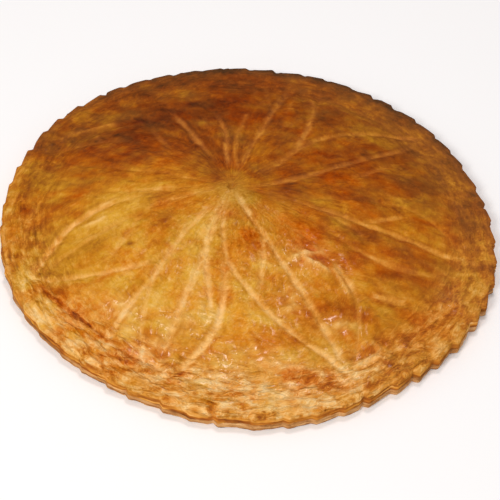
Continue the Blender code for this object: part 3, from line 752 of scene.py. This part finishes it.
def puff_lid():
    """The lid as a closed mesh: the disc of its top, rings down its side to the seam, and a hidden cap."""
    flat_x, flat_y = disc_grid(LID_GRID)
    bearing, share = np.arctan2(flat_y, flat_x), np.hypot(flat_x, flat_y)
    radius = share * (RADIUS + share ** NICK_BLEND * (edge_radius(bearing) - RADIUS))
    x, y = (radius * np.cos(bearing)).ravel(), (radius * np.sin(bearing)).ravel()
    height, *top_marks = skin(x, y)
    height += base_height(x, y)
    points, squares, marks = [np.stack((x, y, height), axis=1)], [grid_faces(LID_GRID)], [top_marks]
    rim = upper = grid_rim(LID_GRID)
    bake, golden, bare, wet, layers = (values[rim] for values in top_marks)
    bearing, radius = np.arctan2(y[rim], x[rim]), np.hypot(x[rim], y[rim])
    for row in range(1, LID_ROWS + 1):
        level = height[rim] * (1.0 - (1.0 - SEAM_SHARE) * row / LID_ROWS)
        inset = side_inset(bearing, level) * min(1.0, row / INSET_ROWS)
        points.append(ring_points(radius - inset, bearing, level))
        fade = min(1.0, row / FADE_ROWS)
        side_bake, side_bare = layer_marks(bearing, level, inset)
        marks.append((bake + fade * (side_bake - bake), golden, bare + fade * (side_bare - bare),
                      wet * (1.0 - fade), layers * (1.0 - fade)))
        lower = np.arange(len(rim)) + sum(len(group) for group in points[:-1])
        squares.append(ring_faces(upper, lower))
        upper = lower
    marks = (np.concatenate(group) for group in zip(*marks))
    return make_piece("puff_lid", np.concatenate(points), np.concatenate(squares), [upper[::-1]],
                      dict(zip(("bake", "golden", "bare", "wet", "layers"), marks)))


def linear(colour):
    """A colour written as a screen shows it, such as "#C8812D", as the four linear numbers of a socket."""
    shown = [int(colour[i:i + 2], 16) / 255.0 for i in (1, 3, 5)]
    return (*(v / 12.92 if v < 0.04045 else ((v + 0.055) / 1.055) ** 2.4 for v in shown), 1.0)


def new_material(name):
    """A new material, its node tree and its shader."""
    material = bpy.data.materials.new(name)
    material.use_nodes = True
    return material, material.node_tree, material.node_tree.nodes["Principled BSDF"]


def feed(tree, node, sockets):
    """Gives each named input of a node a value, or a link from another node's output."""
    for name, value in sockets.items():
        if isinstance(value, bpy.types.NodeSocket):
            tree.links.new(value, node.inputs[name])
        else:
            node.inputs[name].default_value = value


def add(tree, kind, sockets=None, out=0, stops=(), **settings):
    """Adds a shader node and returns its output: settings are its properties, sockets feeds its inputs, and
    stops are a colour ramp's, each a place from 0 to 1 and a colour."""
    made = tree.nodes.new("ShaderNode" + kind)
    for name, value in settings.items():
        setattr(made, name, value)
    feed(tree, made, sockets or {})
    if stops:
        elements = made.color_ramp.elements
        while len(elements) < len(stops):
            elements.new(0.5)
        for element, (place, colour) in zip(elements, stops):
            element.position = place
            element.color = linear(colour)
    return made.outputs[out]


HUB_PLACE = ((HUB[0] - MIDDLE[0]) * MM, (HUB[1] - MIDDLE[1]) * MM, 0.0)
FINE_PLEATS = 150  # round the hub, so about 3 mm wide half way down the dome
FINE_PLEAT_LENGTH = 6.0
STREAKS = 88  # round the pie, so about 8 mm long on the rim
STREAK_WIDTH = 2.5
TREADS = 8.0  # broken sheets from one streak's low to its high
FLAKE_HEIGHT = 1.6  # the bump of a full step of tone
NOISE_SPAN = {"From Min": 0.3, "From Max": 0.7}  # of nearly all of a noise texture
# the lip tone pales each sheet's lip and darkens the sheet below it as painted shade under the lip
LIP_AND_SHADOW_TONE = 0.09  # how much browner and paler each makes the skin
STREAK_TONE = 0.16
PLEAT_TONE = 0.06
COLOUR_A, COLOUR_B, MIXED = 6, 7, 2  # a Mix node's colour sockets


def drawn_round(tree, where, centre, count, length):
    """A vector for textures drawn out round a centre, with so many cells round it, each so many millimetres
    long: turns run along a circle, and the distance from the centre along Z, so it has no seam."""
    moved = add(tree, "VectorMath", {0: where, 1: centre}, operation="SUBTRACT")
    flat = add(tree, "VectorMath", {0: moved, 1: (1.0, 1.0, 0.0)}, operation="MULTIPLY")
    reach = add(tree, "VectorMath", {0: flat}, out="Value", operation="LENGTH")
    way = add(tree, "VectorMath", {0: flat}, operation="NORMALIZE")
    wide = add(tree, "VectorMath", {0: way, "Scale": count / TURN}, operation="SCALE")
    far = add(tree, "Math", {0: reach, 1: 1.0 / (length * MM)}, operation="MULTIPLY")
    return add(tree, "VectorMath", {0: wide, 1: add(tree, "CombineXYZ", {"Z": far})}, operation="ADD")


def glazed_crust():
    """Egg-washed puff pastry: browned skin under a thin glossy glaze, and bare fibrous crumb in the cuts."""
    material, tree, shader = new_material("glazed_crust")
    where = add(tree, "TexCoord", out="Object")
    bake, golden, bare, wet, layers = (add(tree, "Attribute", out="Fac", attribute_name=name)
                                       for name in ("bake", "golden", "bare", "wet", "layers"))

    # Fine pleats from the hub, and streaks round the pie that are cut into treads: each sheet ends in a pale
    #  lip, and the sheet below is darkened there as painted shade under the lip
    fan = drawn_round(tree, where, HUB_PLACE, FINE_PLEATS, FINE_PLEAT_LENGTH)
    pleats = add(tree, "TexNoise", {"Vector": fan, "Scale": 1.0, "Detail": 3.0})
    ring = drawn_round(tree, where, (0.0, 0.0, 0.0), STREAKS, STREAK_WIDTH)
    streaks = add(tree, "TexNoise", {"Vector": ring, "Scale": 1.0, "Detail": 3.0, "Roughness": 0.5,
                                     "Distortion": 0.8})
    climb = add(tree, "Math", {0: streaks, 1: TREADS}, operation="MULTIPLY")
    sheet = add(tree, "Math", {0: climb}, operation="FRACT")
    lip_and_shadow = add(tree, "MapRange", {"Value": sheet, "To Min": -LIP_AND_SHADOW_TONE, "To Max": LIP_AND_SHADOW_TONE})
    drift = add(tree, "MapRange", {"Value": streaks, **NOISE_SPAN, "To Min": -STREAK_TONE,
                                   "To Max": STREAK_TONE})
    both = add(tree, "Math", {0: lip_and_shadow, 1: drift}, operation="ADD")
    flaked = add(tree, "Math", {0: both, 1: layers}, operation="MULTIPLY")
    tone = add(tree, "MapRange", {"Value": pleats, **NOISE_SPAN, "To Min": -PLEAT_TONE, "To Max": PLEAT_TONE})
    mottle = add(tree, "Math", {0: tone, 1: flaked}, operation="ADD")
    browned = add(tree, "Math", {0: bake, 1: mottle}, operation="ADD")

    # The skin browns from amber to burnt, more orange or more golden. Crumb, which is paler, shows in the
    # cuts and where a sheet has flaked off
    orange_skin = add(tree, "ValToRGB", {"Fac": browned}, stops=(
        (0.0, "#F0A43C"), (0.2, "#E4881A"), (0.4, "#D06808"), (0.55, "#B45006"), (0.7, "#943F0C"),
        (0.85, "#702F10"), (1.0, "#3E2412")))
    golden_skin = add(tree, "ValToRGB", {"Fac": browned}, stops=(
        (0.0, "#F0C064"), (0.2, "#E2A838"), (0.4, "#CC8B22"), (0.55, "#B0701E"), (0.7, "#92551E"),
        (0.85, "#72441E"), (1.0, "#4A3420")))
    crumb = add(tree, "ValToRGB", {"Fac": browned}, stops=(
        (0.0, "#FFDCA0"), (0.25, "#FFC97C"), (0.45, "#E69E40"), (0.6, "#C07530"), (0.75, "#985A2C"),
        (1.0, "#624026")))
    hue = add(tree, "MapRange", {"Value": golden, "From Min": -1.0, "From Max": 1.0})
    skin_colour = add(tree, "Mix", {"Factor": hue, COLOUR_A: orange_skin, COLOUR_B: golden_skin}, out=MIXED,
                      data_type="RGBA")
    pale = add(tree, "MapRange", {"Value": flaked, "From Min": 0.0, "From Max": -0.2, "To Max": 0.5})
    bared = add(tree, "Math", {0: bare, 1: pale}, operation="ADD", use_clamp=True)
    colour = add(tree, "Mix", {"Factor": bared, COLOUR_A: skin_colour, COLOUR_B: crumb}, out=MIXED,
                 data_type="RGBA")
    relief = add(tree, "Math", {0: mottle, 1: -1.0}, operation="MULTIPLY")
    bump = add(tree, "Bump", {"Height": relief, "Strength": 1.0, "Distance": FLAKE_HEIGHT * MM})

    # The glaze gives clear glints where it is wet and thick. There is hardly any on bare crumb and on the
    #  darker sheets, which are partly the painted shade under the lips, and the skin under it is matt
    glazed = add(tree, "MapRange", {"Value": bare, "To Min": 0.7, "To Max": 0.05})
    crack = add(tree, "MapRange", {"Value": flaked, "From Max": 0.1, "To Min": 1.0, "To Max": 0.0})
    coated = add(tree, "Math", {0: glazed, 1: crack}, operation="MULTIPLY")
    coat = add(tree, "Math", {0: coated, 1: wet}, operation="MULTIPLY")
    feed(tree, shader, {"Base Color": colour, "Normal": bump, "Roughness": 0.6, "Specular IOR Level": 0.0,
                        "Coat Weight": coat, "Coat Roughness": 0.2})
    return material


lid = puff_lid()
lid.data.materials.append(glazed_crust())
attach(lid, "root")
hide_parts("galette")

# ---- The base sheet -----------------------------------------------------------------------------------
# The lower sheet of the same puff pastry, pressed to the lid all round. Below the seam its edge shows as
# thin ragged layers. Its flat underside baked dry on the oven shelf: matt, wrinkled and browned in blotches.

BASE_GRID = 232  # as for the lid
BASE_ROWS = 9
ROW_CROWDING = 1.25  # the rings crowd towards the foot with this power
FOOT_INSET = 0.6  # the edge draws in at the foot
FOOT_HEIGHT = 1.6
SEAM_OVERLAP = 0.3  # the sheets lap at the seam, so that no gap shows
LIFT = 0.5  # the underside's wrinkles stand this far off the shelf at most
LEAST_LIFT = 0.05  # nothing lies wholly flat on the shelf
UNDERSIDE_BARE = 0.4
BUBBLES = Bubbles(19.0, 17.0, 0.25, 0.3, 93)
BUBBLE_DRIFT = Grain(5.7, 9.0, 9.0, 91, 1)
WRINKLE_LIFT = 0.6  # as a share of a bubble
WRINKLES = Grain(4.0, 16.0, 16.0, 95, 3)  # a wrinkle stands wherever this is near 0
PUCKERS = Grain(0.25, 2.2, 2.2, 97, 3)
BASE_CLOUDS = Grain(0.16, 26.0, 26.0, 99, 3)
BASE_SPECKS = Grain(0.10, 4.0, 4.0, 101, 3)
MOTTLE = 2.4  # the browned speckles of the dry crust
MOTTLE_TONE = 0.08
GRAIN = 1.1  # its roughness to the touch
GRAIN_HEIGHT = 0.4


def underside(x, y):
    """The underside's height over the shelf and how browned it is: flat where it lay on the shelf, with
    shallow bubbles and wrinkles that stayed paler, and browner towards the edge."""
    lifted, _, _ = capped(x + grained(x, y, BUBBLE_DRIFT), y, BUBBLES)
    lifted += WRINKLE_LIFT * unit(1.0 - np.abs(grained(x, y, WRINKLES))) ** 2
    height = LEAST_LIFT + LIFT * unit(lifted + grained(x, y, PUCKERS))
    bake = 0.50 + grained(x, y, BASE_CLOUDS) + grained(x, y, BASE_SPECKS)
    return height, bake - 0.20 * lifted + 0.14 * (np.hypot(x, y) / RADIUS) ** 6


def puff_base():
    """The base as a closed mesh: the disc of its underside, rings up its side to the seam, a hidden cap."""
    flat_x, flat_y = disc_grid(BASE_GRID)
    share, bearing = np.hypot(flat_x, flat_y).ravel(), np.arctan2(flat_y, flat_x).ravel()
    foot = edge_radius(bearing) - side_inset(bearing, 0.0) - FOOT_INSET
    radius = share * (RADIUS - FOOT_INSET + share ** NICK_BLEND * (foot - RADIUS + FOOT_INSET))
    x, y = radius * np.cos(bearing), radius * np.sin(bearing)
    height, bake = underside(x, y)
    points, squares = [np.stack((x, y, height), axis=1)], [grid_faces(BASE_GRID)[:, ::-1]]
    marks = [(bake, np.full(len(x), UNDERSIDE_BARE))]
    lower = grid_rim(BASE_GRID)
    bearing = np.arctan2(y[lower], x[lower])
    edge = edge_radius(bearing)
    top = base_height(edge * np.cos(bearing), edge * np.sin(bearing)) * SEAM_SHARE + SEAM_OVERLAP
    for row in range(1, BASE_ROWS + 1):
        level = top * (row / BASE_ROWS) ** ROW_CROWDING
        drawn_in = FOOT_INSET * (1.0 - unit(level / FOOT_HEIGHT)) ** 2
        inset = side_inset(bearing, level) + drawn_in
        if row == BASE_ROWS:
            inset = inset + SEAM_OVERLAP
        points.append(ring_points(edge - inset, bearing, level))
        marks.append(layer_marks(bearing, level, inset - drawn_in))
        upper = np.arange(len(lower)) + sum(len(group) for group in points[:-1])
        squares.append(ring_faces(upper, lower))
        lower = upper
    bake, bare = (np.concatenate(group) for group in zip(*marks))
    return make_piece("puff_base", np.concatenate(points), np.concatenate(squares), [lower],
                      {"bake": bake, "bare": bare})


def dry_crust():
    """Puff pastry baked without glaze: dry and matt, tan where it stood off the shelf, brown where it lay."""
    material, tree, shader = new_material("dry_crust")
    where = add(tree, "TexCoord", out="Object")
    bake, bare = (add(tree, "Attribute", out="Fac", attribute_name=name) for name in ("bake", "bare"))
    mottle = add(tree, "TexNoise", {"Vector": where, "Scale": 1.0 / (MOTTLE * MM), "Detail": 5.0,
                                    "Roughness": 0.62})
    tone = add(tree, "MapRange", {"Value": mottle, **NOISE_SPAN, "To Min": -MOTTLE_TONE,
                                  "To Max": MOTTLE_TONE})
    browned = add(tree, "Math", {0: bake, 1: tone}, operation="ADD")
    crust = add(tree, "ValToRGB", {"Fac": browned}, stops=(
        (0.0, "#ECC478"), (0.3, "#DA9E4A"), (0.55, "#B4742E"), (0.75, "#86501F"), (1.0, "#4A2A12")))
    crumb = add(tree, "ValToRGB", {"Fac": browned}, stops=(
        (0.0, "#FFDCA4"), (0.3, "#F2BE80"), (0.6, "#C48850"), (0.8, "#8E5A30"), (1.0, "#4A301C")))
    colour = add(tree, "Mix", {"Factor": bare, COLOUR_A: crust, COLOUR_B: crumb}, out=MIXED, data_type="RGBA")
    fine = add(tree, "TexNoise", {"Vector": where, "Scale": 1.0 / (GRAIN * MM), "Detail": 4.0,
                                  "Roughness": 0.6})
    bump = add(tree, "Bump", {"Height": fine, "Strength": 0.6, "Distance": GRAIN_HEIGHT * MM})
    feed(tree, shader, {"Base Color": colour, "Normal": bump, "Roughness": 0.8, "Specular IOR Level": 0.15})
    return material


base = puff_base()
base.data.materials.append(dry_crust())
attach(base, "root")
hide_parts("galette")

# ---- The floor, the light and the camera --------------------------------------------------------------
# The pie stands on white card in a white room. A soft box at the front left brings out its relief, and a
# small one overhead gives the glaze its glints. The camera stands where the pie's outline in the photo puts
# it, about 44 degrees up and rolled by about 5. Lengths are in metres here.

CARD_GLOW = 0.11  # makes the card as white as the photo's ground
ROOM_GLOW = 0.40

floor_mesh = bpy.data.meshes.new("floor")
floor_mesh.from_pydata([(-3, -3, 0), (3, -3, 0), (3, 3, 0), (-3, 3, 0)], [], [(0, 1, 2, 3)])
floor = bpy.data.objects.new("floor", floor_mesh)
bpy.context.scene.collection.objects.link(floor)
card, card_tree, card_shader = new_material("white_card")
feed(card_tree, card_shader, {"Base Color": (0.95, 0.95, 0.95, 1.0), "Roughness": 0.8,
                              "Emission Color": linear("#FFFFFF"), "Emission Strength": CARD_GLOW})
floor_mesh.materials.append(card)


def soft_light(name, place, size, power, colour):
    """A square soft box that looks at the pie."""
    data = bpy.data.lights.new(name, "AREA")
    data.size = size
    data.energy = power
    data.color = linear(colour)[:3]
    light = bpy.data.objects.new(name, data)
    light.location = place
    light.rotation_euler = (-Vector(place)).to_track_quat("-Z", "Y").to_euler()
    bpy.context.scene.collection.objects.link(light)
    return light


soft_light("key", (-0.65, -1.15, 1.2), 0.5, 13.6, "#FFFEFC")
soft_light("top", (0.05, 0.25, 1.2), 0.2, 4.0, "#FFF2F0")
room = bpy.data.worlds.new("studio")
room.use_nodes = True
feed(room.node_tree, room.node_tree.nodes["Background"], {"Color": linear("#FFFFFF"), "Strength": ROOM_GLOW})
bpy.context.scene.world = room
bpy.context.scene.view_settings.view_transform = "Standard"

CAMERA_ELEVATION = math.radians(44.21)
CAMERA_ROLL = math.radians(5.2)
CAMERA_DISTANCE = 0.910
CAMERA_AIM = Vector((0.0014, -0.0102, 0.0))
PHOTO_WIDTH = 500.0  # pixels
FOCAL_PIXELS = 1724.0
SENSOR_WIDTH = 36.0  # millimetres
camera_data = bpy.data.cameras.new("camera")
camera_data.sensor_width = SENSOR_WIDTH
camera_data.lens = FOCAL_PIXELS / PHOTO_WIDTH * SENSOR_WIDTH
camera = bpy.data.objects.new("camera", camera_data)
place = CAMERA_DISTANCE * Vector((0.0, -math.cos(CAMERA_ELEVATION), math.sin(CAMERA_ELEVATION)))
back = (place - CAMERA_AIM).normalized()
place -= Vector((MIDDLE[0], MIDDLE[1], 0.0)) * MM
right = Vector((0.0, 0.0, 1.0)).cross(back).normalized()
up = back.cross(right)
tilted_right = math.cos(CAMERA_ROLL) * right + math.sin(CAMERA_ROLL) * up
tilted_up = back.cross(tilted_right)
turned = Matrix((tilted_right, tilted_up, back)).transposed()
camera.matrix_world = Matrix.Translation(place) @ turned.to_4x4()
bpy.context.scene.collection.objects.link(camera)
bpy.context.scene.camera = camera
